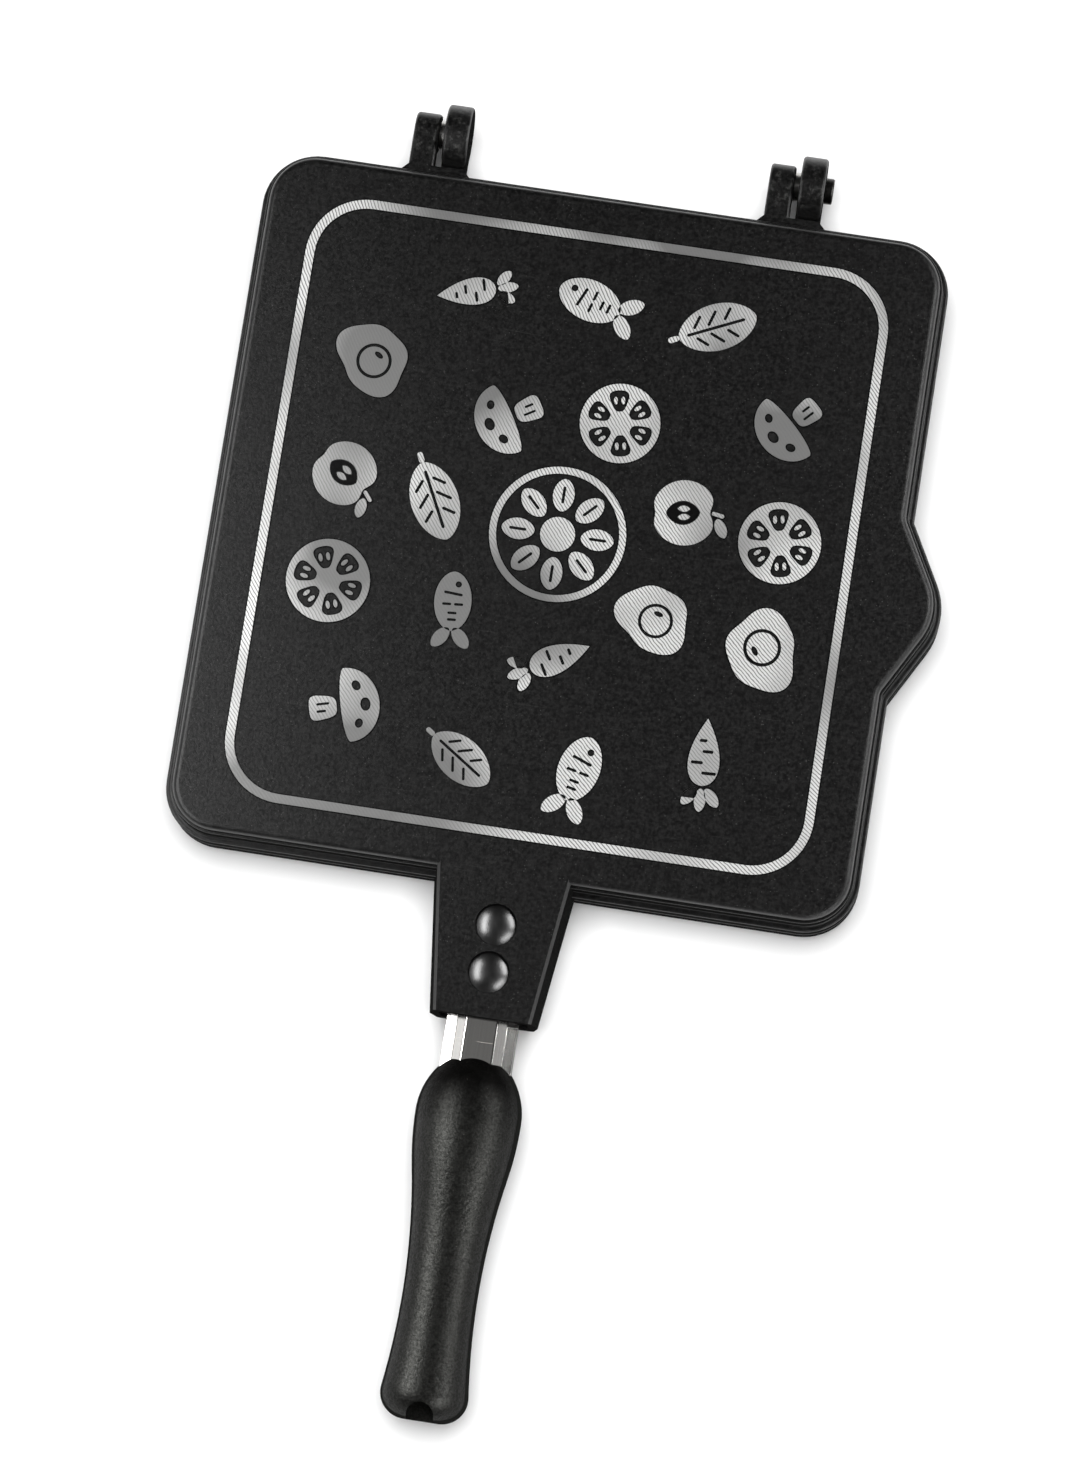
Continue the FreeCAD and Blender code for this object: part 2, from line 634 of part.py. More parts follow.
def grip(half):
    """Moulded half grip: a half-round handle with a bullet nose, a waist and a rounded end."""
    body = new_body(f"{half}_grip")
    profile = new_sketch(body, f"{half}_grip_profile", "XY_Plane", rim_z)
    widest, waist = d.grip_width / 2, d.grip_waist / 2
    shoulder_y = grip_y + d.grip_shoulder
    waist_y = grip_y + d.grip_hollow
    run = d.grip_hollow - d.grip_shoulder
    drop = widest - waist
    sweep = (run * run + drop * drop) / (drop * 2) - d.grip_belly
    nose = d.grip_nose.number
    ahead = d.grip_shoulder.number - nose
    half_width = widest.number
    shoulder = (half_width ** 2 + ahead ** 2 - nose ** 2) / (2 * (half_width - nose))
    nose_centre = (0.0, -grip_y.number - nose)
    shoulder_centre = (half_width - shoulder, -shoulder_y.number)
    belly_radius = d.grip_belly.number
    belly_centre = (half_width - belly_radius, -shoulder_y.number)
    waist_centre = (waist.number + sweep.number, -waist_y.number)
    flare = d.grip_flare.number
    flare_centre = (waist.number + flare, -waist_y.number)
    end_y, corner = grip_end_y.number, d.grip_end_round.number
    # Centre of the end corner: a corner radius inside the end, and outside the flare's circle
    rise = waist_y.number - end_y + corner
    corner_x = flare_centre[0] - math.sqrt((flare + corner) ** 2 - rise ** 2)
    corner_centre = (corner_x, corner - end_y)

    def bearing(start, end):
        return math.atan2(end[1] - start[1], end[0] - start[0])

    touch_nose = bearing(shoulder_centre, nose_centre)
    touch_belly = bearing(belly_centre, waist_centre)
    touch_corner = bearing(flare_centre, corner_centre)
    path = Path(profile)
    full, quarter = 2 * math.pi, math.pi / 2
    tip = path.arc(nose_centre, nose, quarter, touch_nose)
    side = path.arc(shoulder_centre, shoulder, touch_nose, 0.0)
    belly = path.arc(belly_centre, belly_radius, 0.0, touch_belly)
    hollow = path.arc(waist_centre, sweep.number, touch_belly + math.pi, math.pi)
    tail = path.arc(flare_centre, flare, math.pi, touch_corner % full)
    end_corner = path.arc(corner_centre, corner, touch_corner + math.pi - full * (touch_corner > 0), -quarter)
    end = path.line((corner_x, -end_y), (0.0, -end_y))
    axis = path.line((0.0, -end_y), (0.0, -grip_y.number))
    sides = [tip, side, belly, hollow, tail, end_corner, end]
    path.close(set(zip(sides, sides[1:])))
    profile.addConstraint(Sketcher.Constraint("Vertical", axis))
    profile.addConstraint(Sketcher.Constraint("PointOnObject", axis, START, -2))
    profile.addConstraint(Sketcher.Constraint("PointOnObject", tip, CENTRE, -2))
    profile.addConstraint(Sketcher.Constraint("Horizontal", end))
    place(profile, "Y", axis, START, -grip_end_y)
    place(profile, "Y", axis, END, -grip_y)
    place(profile, "Y", side, CENTRE, -shoulder_y)
    place(profile, "Y", hollow, CENTRE, -waist_y)
    place(profile, "Y", tail, CENTRE, -waist_y)
    place(profile, "Y", belly, CENTRE, -shoulder_y)
    place(profile, "X", belly, END, widest)
    limit(profile, "Radius", d.grip_nose, tip)
    limit(profile, "Radius", d.grip_belly, belly)
    limit(profile, "Radius", sweep, hollow)
    limit(profile, "Radius", d.grip_flare, tail)
    limit(profile, "Radius", d.grip_end_round, end_corner)
    turned = body.newObject("PartDesign::Revolution", f"{half}_grip_body")
    turned.Profile = profile
    turned.ReferenceAxis = (profile, ["V_Axis"])
    turned.Angle = 180
    doc.recompute()
    if turned.Shape.CenterOfMass.z > rim_z.number:
        turned.Reversed = True
        doc.recompute()

    room = d.socket_clearance
    socket = new_sketch(body, f"{half}_socket", "XZ_Plane", grip_y)
    polygon(socket, stem_corners(room))
    pocket(body, socket, d.stem_bite + room, along_normal=True)
    bush_room = d.bush_diameter / 2 + d.screw_clearance
    slot_x = d.tang_width / 2 + room
    slot = new_sketch(body, f"{half}_slot", "XZ_Plane", grip_y + d.stem_bite)
    low_z, high_z = screw_z - bush_room, screw_z + bush_room
    polygon(slot, [(slot_x, low_z), (slot_x, high_z), (-slot_x, high_z), (-slot_x, low_z)])
    pocket(body, slot, seat_y - d.bush_gap + room - grip_y - d.stem_bite, along_normal=True)
    hole = new_sketch(body, f"{half}_screw_hole", "XZ_Plane", grip_y + d.stem_bite)
    circle(hole, zero, screw_z, d.screw_shank + d.screw_clearance * 2)
    pocket(body, hole, grip_end_y - grip_y - d.stem_bite, along_normal=True)
    loft(body, "Subtractive", [
        recess_section(body, f"{half}_recess", seat_y, d.recess_roof),
        recess_section(body, f"{half}_recess_mouth", grip_end_y, d.recess_roof + d.recess_rise),
    ])
    pit = new_sketch(body, f"{half}_magnet_pit", "XY_Plane", rim_z)
    circle(pit, zero, -(grip_y + d.magnet_place), d.magnet_diameter + d.magnet_clearance * 2)
    pocket(body, pit, d.magnet_thick + d.magnet_clearance)
    return body


def rivet(half, name, rivet_y):
    """Domed rivet: the head sits in the tongue's face, the tail is upset against the stem's web."""
    body = new_body(f"{half}_{name}_rivet")
    sketch = new_sketch(body, f"{half}_{name}_rivet_profile", "YZ_Plane", zero)
    head, shank, tail = d.rivet_head / 2, d.rivet_shank / 2, d.rivet_tail / 2
    seat_z = seat_level(rivet_y)
    crown_z = seat_z - d.rivet_dome
    clench_z = web_z + d.stem_sheet
    end_z = clench_z + d.rivet_tail_height
    dome = (d.rivet_head * d.rivet_head / 4 + d.rivet_dome * d.rivet_dome) / (d.rivet_dome * 2)
    tilt = math.asin(head.number / dome.number)
    down = -math.pi / 2
    middle = -rivet_y
    path = Path(sketch)
    dome_centre = (middle.number, crown_z.number + dome.number)
    crown = path.arc(dome_centre, dome.number, down, down + tilt)
    corners = [
        (head, seat_z), (shank, seat_z), (shank, clench_z), (tail, clench_z), (tail, end_z), (zero, end_z),
        (zero, crown_z),
    ]
    points = [(middle.number + out.number, z.number) for out, z in corners]
    lines = [path.line(start, end) for start, end in zip(points, points[1:])]
    path.close(set())
    for line, (out, z) in zip(lines, corners):
        place(sketch, "X", line, START, middle + out)
        place(sketch, "Y", line, START, z)
    place(sketch, "X", lines[-1], END, middle)
    place(sketch, "Y", lines[-1], END, crown_z)
    limit(sketch, "Radius", dome, crown)
    turned = body.newObject("PartDesign::Revolution", f"{half}_{name}_rivet_body")
    turned.Profile = sketch
    turned.ReferenceAxis = (sketch, [f"Edge{lines[-1] + 1}"])
    turned.Angle = 360
    doc.recompute()
    return body


def grip_bush(half):
    """Threaded bush, welded to the end of the tang."""
    body = new_body(f"{half}_grip_bush")
    ring = new_sketch(body, f"{half}_bush_ring", "XZ_Plane", bush_y)
    circle(ring, zero, screw_z, d.bush_diameter)
    pad(body, ring, d.bush_length)
    thread = new_sketch(body, f"{half}_bush_thread", "XZ_Plane", bush_y + d.bush_length - d.screw_grip)
    circle(thread, zero, screw_z, d.screw_shank)
    pocket(body, thread, d.screw_grip, along_normal=True)
    return body


def grip_screw(half):
    """Socket-head screw that pulls the grip on to the stem, sunk in the recess of the grip's end."""
    body = new_body(f"{half}_grip_screw")
    tip_y = bush_y + d.bush_length - d.screw_grip
    shank = new_sketch(body, f"{half}_screw_shank", "XZ_Plane", tip_y)
    circle(shank, zero, screw_z, d.screw_shank)
    pad(body, shank, seat_y - tip_y)
    head = new_sketch(body, f"{half}_screw_head", "XZ_Plane", seat_y)
    circle(head, zero, screw_z, d.screw_head)
    pad(body, head, d.screw_head_height)
    driver = new_sketch(body, f"{half}_screw_driver", "XZ_Plane", seat_y + d.screw_head_height)
    flat, point = d.screw_driver / 2, d.screw_driver / math.sqrt(3)
    polygon(driver, [
        (point, screw_z), (point / 2, screw_z + flat), (-(point / 2), screw_z + flat),
        (-point, screw_z), (-(point / 2), screw_z - flat), (point / 2, screw_z - flat),
    ])
    pocket(body, driver, d.screw_driver_depth)
    return body


def magnet(half):
    """Disc magnet in the flat of the grip, that holds the two grips together."""
    body = new_body(f"{half}_magnet")
    disc = new_sketch(body, f"{half}_magnet_disc", "XY_Plane", rim_z - d.magnet_thick - d.magnet_clearance)
    circle(disc, zero, -(grip_y + d.magnet_place), d.magnet_diameter)
    pad(body, disc, d.magnet_thick)
    return body


def hinge_pin(name, hinge_x, headed):
    """Hinge pin, pressed into the upper ear and running in the lower one."""
    body = new_body(f"{name}_hinge_pin")
    reach = d.hinge_gap / 2 + d.ear_width
    start_x = hinge_x - reach + d.pin_inset
    end_x = hinge_x + reach + (d.pin_head_gap if headed else -d.pin_inset)
    shank = new_sketch(body, f"{name}_pin_shank", "YZ_Plane", start_x)
    circle(shank, pin_y, d.half_depth, d.pin_diameter)
    pad(body, shank, end_x - start_x)
    if headed:
        head = new_sketch(body, f"{name}_pin_head", "YZ_Plane", end_x)
        circle(head, pin_y, d.half_depth, d.pin_head)
        pad(body, head, d.pin_head_height)
        crown = end_x + d.pin_head_height
        fillet(body, f"{name}_pin_crown", d.pin_head_height / 4,
               lambda edge: abs(edge.BoundBox.XMin - crown.number) < 1e-4)
    return body


def hinge_washer(name, hinge_x):
    """Spacer between the two ears of a hinge."""
    body = new_body(f"{name}_hinge_washer")
    ring = new_sketch(body, f"{name}_washer_ring", "YZ_Plane", hinge_x - d.hinge_gap / 2 + d.washer_play)
    circle(ring, pin_y, d.half_depth, d.washer_diameter)
    circle(ring, pin_y, d.half_depth, d.pin_diameter + d.washer_play * 2)
    pad(body, ring, d.hinge_gap - d.washer_play * 2)
    return body


def reflected(piece, label):
    """The upper half's copy of a piece: its reflection in the parting plane."""
    mirror = doc.addObject("Part::Mirroring", label + "_mirror")
    mirror.Source = piece
    mirror.Normal = Vector(0, 0, 1)
    bind(mirror, "Base.z", d.half_depth)
    mirror.Label = label
    return mirror


pieces = []
for half, eye, ear_side in (("lower", d.lower_eye, 1), ("upper", d.upper_eye, -1)):
    made = {
        "pan": pan_casting(half, eye, ear_side),
        "stem": stem(half),
        "grip": grip(half),
        "front_rivet": rivet(half, "front", RIVETS["front"]),
        "rear_rivet": rivet(half, "rear", RIVETS["rear"]),
        "grip_bush": grip_bush(half),
        "grip_screw": grip_screw(half),
        "magnet": magnet(half),
    }
    for name, piece in made.items():
        if half == "lower":
            piece.Label = f"lower_{name}"
            pieces.append(piece)
        else:
            piece.Label = f"upper_{name}_as_drawn"
            pieces.append(reflected(piece, f"upper_{name}"))

for name, hinge_x, headed in (
    ("left", -(d.hinge_spacing / 2), False),
    ("right", d.hinge_spacing / 2, True),
):
    pieces.append(hinge_pin(name, hinge_x, headed))
    pieces.append(hinge_washer(name, hinge_x))

doc.recompute()
for item in doc.Objects:
    if "Invalid" in item.State or "Error" in item.State:
        raise RuntimeError(f"{item.Label} failed: {item.State}")
for piece in pieces:
    if piece.Shape.isNull() or not piece.Shape.isValid():
        raise RuntimeError(f"{piece.Label} has no valid shape")

os.makedirs("parts", exist_ok=True)
for piece in pieces:
    piece.Shape.exportStep(f"parts/{piece.Label}.step")
    print(f"{piece.Label}: {len(piece.Shape.Solids)} solid, {piece.Shape.Volume / 1000:.2f} cm3")
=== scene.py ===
import json
import math

import bmesh
import bpy
from mathutils import Matrix, Vector

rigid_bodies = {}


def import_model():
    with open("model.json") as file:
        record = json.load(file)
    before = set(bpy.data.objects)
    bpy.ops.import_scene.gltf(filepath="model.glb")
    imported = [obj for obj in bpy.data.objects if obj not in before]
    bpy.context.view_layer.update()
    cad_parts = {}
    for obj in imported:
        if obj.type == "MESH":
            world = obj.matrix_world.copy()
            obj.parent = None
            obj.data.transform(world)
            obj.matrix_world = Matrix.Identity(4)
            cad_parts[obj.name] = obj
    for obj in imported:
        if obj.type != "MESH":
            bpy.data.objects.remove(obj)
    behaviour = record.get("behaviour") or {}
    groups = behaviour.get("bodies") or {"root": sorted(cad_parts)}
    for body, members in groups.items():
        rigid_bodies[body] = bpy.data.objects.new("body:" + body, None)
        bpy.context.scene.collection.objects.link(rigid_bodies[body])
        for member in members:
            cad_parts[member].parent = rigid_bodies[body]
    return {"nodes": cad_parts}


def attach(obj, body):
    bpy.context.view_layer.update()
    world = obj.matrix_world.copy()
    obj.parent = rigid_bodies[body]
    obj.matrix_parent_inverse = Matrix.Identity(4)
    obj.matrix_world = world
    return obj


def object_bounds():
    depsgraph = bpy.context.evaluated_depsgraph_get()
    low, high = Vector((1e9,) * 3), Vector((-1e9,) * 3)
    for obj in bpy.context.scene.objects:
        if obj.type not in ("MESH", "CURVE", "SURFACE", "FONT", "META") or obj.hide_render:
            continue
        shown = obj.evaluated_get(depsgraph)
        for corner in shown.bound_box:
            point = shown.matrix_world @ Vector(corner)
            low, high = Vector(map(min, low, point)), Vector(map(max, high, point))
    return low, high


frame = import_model()
cad_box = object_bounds()

# Cast halves
# Two die-cast aluminium shells with a baked non-stick coat, dark and finely grained from spraying. After
# coating, the raised lines on the outer faces are milled bare again, so only their flat tops show metal.
# Upright walls have little gloss and are painted paler as a painted floor reflection, and the hinge ears are
# rubbed.
face_low = cad_box[0].z
face_high = cad_box[1].z
parting = (face_low + face_high) / 2


def node(tree, kind, feeds=None, **settings):
    """One node of a tree. A feed is a plain value for a socket, or the output that drives it."""
    made = tree.nodes.new(kind)
    for name, value in settings.items():
        setattr(made, name, value)
    for socket, value in (feeds or {}).items():
        if isinstance(value, bpy.types.NodeSocket):
            tree.links.new(value, made.inputs[socket])
        else:
            made.inputs[socket].default_value = value
    return made


def maths(tree, operation, first, second=0.0):
    """A sum of two numbers or outputs, as an output."""
    return node(tree, "ShaderNodeMath", {0: first, 1: second}, operation=operation).outputs[0]


def new_finish(name, **constants):
    """A material with one shader, its tree and the point on the piece that its patterns follow."""
    material = bpy.data.materials.new(name)
    material.use_nodes = True
    tree = material.node_tree
    shader = tree.nodes["Principled BSDF"]
    for socket, value in constants.items():
        shader.inputs[socket.replace("_", " ")].default_value = value
    place = node(tree, "ShaderNodeTexCoord").outputs["Object"]
    return material, tree, shader, place


def stretched(tree, place, scale, turn=0.0, shift=(0.0, 0.0, 0.0)):
    """The point turned about Z and drawn out, so that a pattern runs along a direction."""
    feeds = {"Vector": place, "Location": shift, "Rotation": (0.0, 0.0, turn), "Scale": scale}
    return node(tree, "ShaderNodeMapping", feeds).outputs[0]


def grain(tree, place, per_metre, detail=2.0, roughness=0.5):
    """Noise from 0 to 1 with that many swells per metre."""
    feeds = {"Vector": place, "Scale": per_metre, "Detail": detail, "Roughness": roughness}
    return node(tree, "ShaderNodeTexNoise", feeds).outputs["Fac"]


def remap(tree, value, low, high, to_low=0.0, to_high=1.0):
    """A value's range from low to high, moved to another range and held there."""
    feeds = {"Value": value, "From Min": low, "From Max": high, "To Min": to_low, "To Max": to_high}
    return node(tree, "ShaderNodeMapRange", feeds).outputs[0]


def blend_colour(tree, factor, first, second):
    """One colour over another."""
    mix = node(tree, "ShaderNodeMix", {"Factor": factor}, data_type="RGBA")
    for socket, value in ((mix.inputs[6], first), (mix.inputs[7], second)):
        if isinstance(value, bpy.types.NodeSocket):
            tree.links.new(value, socket)
        else:
            socket.default_value = (*value, 1.0)
    return mix.outputs[2]


def blend_value(tree, factor, first, second):
    """One number over another."""
    mix = node(tree, "ShaderNodeMix", {"Factor": factor}, data_type="FLOAT")
    for socket, value in ((mix.inputs[2], first), (mix.inputs[3], second)):
        if isinstance(value, bpy.types.NodeSocket):
            tree.links.new(value, socket)
        else:
            socket.default_value = value
    return mix.outputs[0]


def relief(tree, height, depth, strength=1.0):
    """Bump from a height of 0 to 1 that stands for a depth in metres."""
    feeds = {"Height": height, "Distance": depth, "Strength": strength}
    return node(tree, "ShaderNodeBump", feeds).outputs[0]


def specks(tree, place, per_metre, size):
    """Sparse round specks: 1 inside a speck, 0 between."""
    cells = node(tree, "ShaderNodeTexVoronoi", {"Vector": place, "Scale": per_metre})
    return remap(tree, cells.outputs["Distance"], size, size * 0.5)


def hairlines(tree, place, turn, shift):
    """Sparse short scratches along one direction: 1 in a scratch, 0 beside it."""
    along = stretched(tree, place, (60.0, 2600.0, 60.0), turn, shift)
    return remap(tree, grain(tree, along, 1.0, 1.0), 0.735, 0.76)


def coordinate(tree, vector, axis):
    """One coordinate of a vector output."""
    return node(tree, "ShaderNodeSeparateXYZ", {0: vector}).outputs[axis]


def facing_up(tree):
    """How far a surface faces straight up or down: 0 on a wall, 1 on a flat face."""
    outward = node(tree, "ShaderNodeTexCoord").outputs["Normal"]
    return maths(tree, "ABSOLUTE", coordinate(tree, outward, "Z"))


def drive(tree, shader, **outputs):
    """Lead outputs into the shader's sockets."""
    for socket, output in outputs.items():
        tree.links.new(output, shader.inputs[socket.replace("_", " ")])


def dress(finish, *names):
    """Put a finish on pieces of the frame."""
    for name in names:
        frame["nodes"][name].material_slots[0].material = finish


coated_casting, tree, shader, place = new_finish("coated_casting_finish")
coat_dark = (0.0008, 0.0008, 0.0008)
coat_light = (0.0068, 0.0068, 0.0066)
coat_speck = (0.050, 0.050, 0.048)
coat_darker_at_roots = (0.0012, 0.0012, 0.0012)
coat_wall_painted_reflection = (0.019, 0.019, 0.0185)
spray_per_metre, patches_per_metre, specks_per_metre, rubs_per_metre = 900.0, 210.0, 760.0, 420.0
speck_size = 0.16
coat_scratch = 0.12
ear_root, ear_rise = 0.1265, 0.004
wall_end, edge_start, edge_end, face_start = 0.2, 0.5, 0.6, 0.84
edge_gloss, face_share, root_gloss = 0.7, 0.31, 0.1
spray = grain(tree, place, spray_per_metre, 4.0, 0.7)
coat = blend_colour(tree, remap(tree, spray, 0.42, 0.66), coat_dark, coat_light)
few = remap(tree, grain(tree, place, patches_per_metre), 0.47, 0.6, 0.0, 0.8)
speckled = maths(tree, "MULTIPLY", specks(tree, place, specks_per_metre, speck_size), few)
coat = blend_colour(tree, speckled, coat, coat_speck)
scratch = hairlines(tree, place, 1.1, (3.0, 0.0, 0.0))
coat = blend_colour(tree, maths(tree, "MULTIPLY", scratch, coat_scratch), coat, coat_speck)
rub = remap(tree, grain(tree, place, rubs_per_metre, 4.0, 0.7), 0.52, 0.7, 0.0, 0.7)
on_ears = remap(tree, coordinate(tree, place, "Y"), ear_root, ear_root + ear_rise)
coat = blend_colour(tree, maths(tree, "MULTIPLY", rub, on_ears), coat, coat_speck)

# Walls are matt, painted paler as a painted floor reflection; rounded edges catch light, flat faces keep a
# low gloss
upright = facing_up(tree)
# Painted reflection: walls get a paler colour in place of the floor's glare, mottled by the spray
wall = remap(tree, upright, wall_end, edge_start, 1.0, 0.0)
painted_reflection_share = maths(tree, "MULTIPLY", wall, remap(tree, spray, 0.3, 0.7, 0.5, 1.0))
coat = blend_colour(tree, painted_reflection_share, coat, coat_wall_painted_reflection)
coat_roughness = remap(tree, spray, 0.3, 0.7, 0.36, 0.46)
off_wall = remap(tree, upright, wall_end, edge_start, 0.0, edge_gloss)
coat_gloss = maths(tree, "MULTIPLY", off_wall, remap(tree, upright, edge_end, face_start, 1.0, face_share))

# The milled tops: arcs that a wide cutter leaves, with patches of painted highlight on grey
cutter_centre = (0.42, 0.36, 0.0)
cutter_pitch = 0.00105
metal_dark = (0.18, 0.18, 0.177)
metal_painted_highlight = (0.68, 0.68, 0.67)
metal_groove = (0.16, 0.16, 0.16)
metal_share, metal_roughness, metal_gloss = 0.6, 0.36, 0.5
groove_relief, coat_relief = 0.1, 0.00013
line_height, bare_depth, root_margin = 0.0004, 0.00012, 0.00003
swing = node(tree, "ShaderNodeVectorMath", {0: place, 1: (-cutter_centre[0], -cutter_centre[1], 0.0)})
flat = node(tree, "ShaderNodeVectorMath", {0: swing.outputs[0], 1: (1.0, 1.0, 0.0)}, operation="MULTIPLY")
reach = node(tree, "ShaderNodeVectorMath", {0: flat.outputs[0]}, operation="LENGTH").outputs["Value"]
wobble = maths(tree, "MULTIPLY", grain(tree, place, 350.0), cutter_pitch * 0.8)
groove_turn = maths(tree, "MULTIPLY", maths(tree, "ADD", reach, wobble), math.tau / cutter_pitch)
groove = maths(tree, "ADD", maths(tree, "MULTIPLY", maths(tree, "SINE", groove_turn), 0.5), 0.5)
# Painted highlight: random patches blend the grey towards bright metal, and the cutter lines show more there
highlight_zone_place = stretched(tree, place, (1.0, 1.0, 1.0), 0.0, (0.31, 0.17, 0.0))
painted_highlight_zones = remap(tree, grain(tree, highlight_zone_place, 19.0, 1.0), 0.38, 0.6)
metal = blend_colour(tree, painted_highlight_zones, metal_dark, metal_painted_highlight)
line = maths(tree, "MULTIPLY", remap(tree, groove, 0.62, 0.92), remap(tree, painted_highlight_zones, 0.0, 1.0, 0.45, 0.95))
metal = blend_colour(tree, line, metal, metal_groove)
from_middle = maths(tree, "ABSOLUTE", maths(tree, "SUBTRACT", coordinate(tree, place, "Z"), parting))
half_depth = (face_high - face_low) / 2
bare = maths(tree, "GREATER_THAN", from_middle, half_depth - bare_depth)
root = maths(tree, "GREATER_THAN", from_middle, half_depth - line_height + root_margin)
# The sides and skirts of the raised line and islands are coloured darker, with less gloss
coat = blend_colour(tree, root, coat, coat_darker_at_roots)
coat_gloss = blend_value(tree, root, coat_gloss, root_gloss)
height = blend_value(tree, bare, spray, maths(tree, "MULTIPLY", groove, groove_relief))
drive(
    tree, shader,
    Base_Color=blend_colour(tree, bare, coat, metal),
    Metallic=maths(tree, "MULTIPLY", bare, metal_share),
    Roughness=blend_value(tree, bare, coat_roughness, metal_roughness),
    Specular_IOR_Level=blend_value(tree, bare, coat_gloss, metal_gloss),
    Normal=relief(tree, height, coat_relief),
)
dress(coated_casting, "lower_pan", "upper_pan")

# Milled ornament
# Flat islands on both outer faces, cast with the shell, coated with it and milled bare on top: a rosette
# round the middle disc, and kitchen motifs in two rings inside the raised line.
MM = 0.001
island_height = 0.4 * MM
island_root = 0.05 * MM
skirt_height = 0.1 * MM
skirt_width = 0.4
rosette_radius, rosette_band = 23.5, 2.4
ring_steps = 56


def oval(x, y, half_width, half_height, turn=0.0):
    """A closed oval about (x, y), in millimetres, turned by an angle in degrees."""
    c, s = math.cos(math.radians(turn)), math.sin(math.radians(turn))
    angles = [math.tau * k / ring_steps for k in range(ring_steps)]
    flat_oval = [(half_width * math.cos(a), half_height * math.sin(a)) for a in angles]
    return [(x + c * u - s * v, y + s * u + c * v) for u, v in flat_oval]


def slot(x, y, length, width, turn=0.0):
    """A straight slot with round ends."""
    c, s = math.cos(math.radians(turn)), math.sin(math.radians(turn))
    reach_to_end = (length - width) / 2
    points = []
    for k in range(ring_steps // 2):
        a = math.tau * (k + 0.5) / (ring_steps // 2)
        u = math.copysign(reach_to_end, math.cos(a)) + width / 2 * math.cos(a)
        v = width / 2 * math.sin(a)
        points.append((x + c * u - s * v, y + s * u + c * v))
    return points


def blade(start, end, half_width, fullness=0.85):
    """A lens from one point to another, like a leaf."""
    along = (end[0] - start[0], end[1] - start[1])
    length = math.hypot(*along)
    side = (-along[1] / length, along[0] / length)
    points = []
    for k in range(ring_steps):
        a = math.tau * k / ring_steps
        t = (1 - math.cos(a)) / 2
        w = math.copysign(abs(math.sin(a)) ** (2 * fullness), math.sin(a)) * half_width
        points.append((start[0] + along[0] * t + side[0] * w, start[1] + along[1] * t + side[1] * w))
    return points


def wedge(inner, outer, middle, half_angle):
    """A rounded piece of a ring about the origin."""
    points = []
    for k in range(ring_steps):
        a = math.tau * k / ring_steps
        u = math.copysign(abs(math.cos(a)) ** 0.6, math.cos(a))
        v = math.copysign(abs(math.sin(a)) ** 0.6, math.sin(a))
        r = (inner + outer) / 2 + (outer - inner) / 2 * u
        t = math.radians(middle + half_angle * v)
        points.append((r * math.cos(t), r * math.sin(t)))
    return points


def polar(radius_at):
    """A closed outline from a radius for each angle."""
    angles = [math.tau * k / (2 * ring_steps) for k in range(2 * ring_steps)]
    return [(radius_at(a) * math.cos(a), radius_at(a) * math.sin(a)) for a in angles]


def dip(angle, middle, width):
    """A smooth notch of depth 1 at one angle."""
    off = (angle - middle + math.pi) % math.tau - math.pi
    return math.exp(-((off / width) ** 2))


def tomato_slice():
    loops = [oval(0, 0, 13.4, 13.4)]
    for k in range(6):
        loops.append(wedge(4.0, 11.2, 60 * k, 21))
        for off in (-9, 9):
            t = math.radians(60 * k + off)
            loops.append(oval(7.8 * math.cos(t), 7.8 * math.sin(t), 1.3, 0.65, 60 * k))
    return loops


def mushroom():
    angles = [math.tau * k / (2 * ring_steps) for k in range(2 * ring_steps)]
    cap = [(13.2 * math.cos(a), 1.0 + (11.4 if math.sin(a) > 0 else 2.4) * math.sin(a)) for a in angles]
    stalk = []
    for a in angles:
        u = math.copysign(abs(math.cos(a)) ** 0.55, math.cos(a))
        v = math.copysign(abs(math.sin(a)) ** 0.55, math.sin(a))
        stalk.append(((4.2 - 0.7 * v) * u, -7.7 + 4.9 * v))
    spots = [oval(-6.6, 4.8, 1.9, 1.5, 25), oval(0.4, 7.4, 2.4, 1.8), oval(6.9, 4.4, 1.7, 1.4, -25)]
    return [cap, stalk, slot(-1.3, -7.6, 4.6, 0.9, 90), slot(1.3, -8.4, 3.4, 0.9, 90), *spots]


def leaf():
    loops = [blade((0, -12.5), (0, 13.5), 7.6, 0.62), slot(0, -14.2, 3.6, 1.8, 90), slot(0, 0, 19.5, 1.0, 90)]
    for side in (-1, 1):
        for y, length in ((-5.4, 4.8), (-0.4, 5.6), (4.8, 4.6)):
            loops.append(slot(side * 3.3, y, length, 0.95, 90 - side * 48))
    return loops


def fish():
    body = blade((-13.6, 0), (8.6, 0), 6.9, 0.55)
    tail = [blade((7.6, side * 0.8), (14.6, side * 6.6), 2.5, 0.6) for side in (-1, 1)]
    scales = [slot(x, y, 3.4, 0.95, 90) for x, y in ((-1.4, 2.2), (-1.4, -2.2), (1.9, 0), (4.4, 0))]
    return [body, *tail, oval(-8.9, 1.7, 1.15, 1.15), slot(-5.4, 0, 7.0, 1.0, 82), *scales]


def carrot():
    angles = [math.tau * k / (2 * ring_steps) for k in range(2 * ring_steps)]
    root = [(6.4 * math.sin(a) * math.sin(a / 2), -3.6 - 10.6 * math.cos(a)) for a in angles]
    ring_marks = ((-1.9, 3.0, 4.6), (2.1, -0.2, 3.8), (-1.0, -3.8, 3.4), (0.7, -7.2, 2.4))
    rings = [slot(x, y, length, 1.0) for x, y, length in ring_marks]
    top = [blade((x / 4, 7.9), (x, y), 1.8, 0.6) for x, y in ((-5.6, 13.2), (0, 15.2), (5.6, 13.2))]
    return [root, *rings, *top]


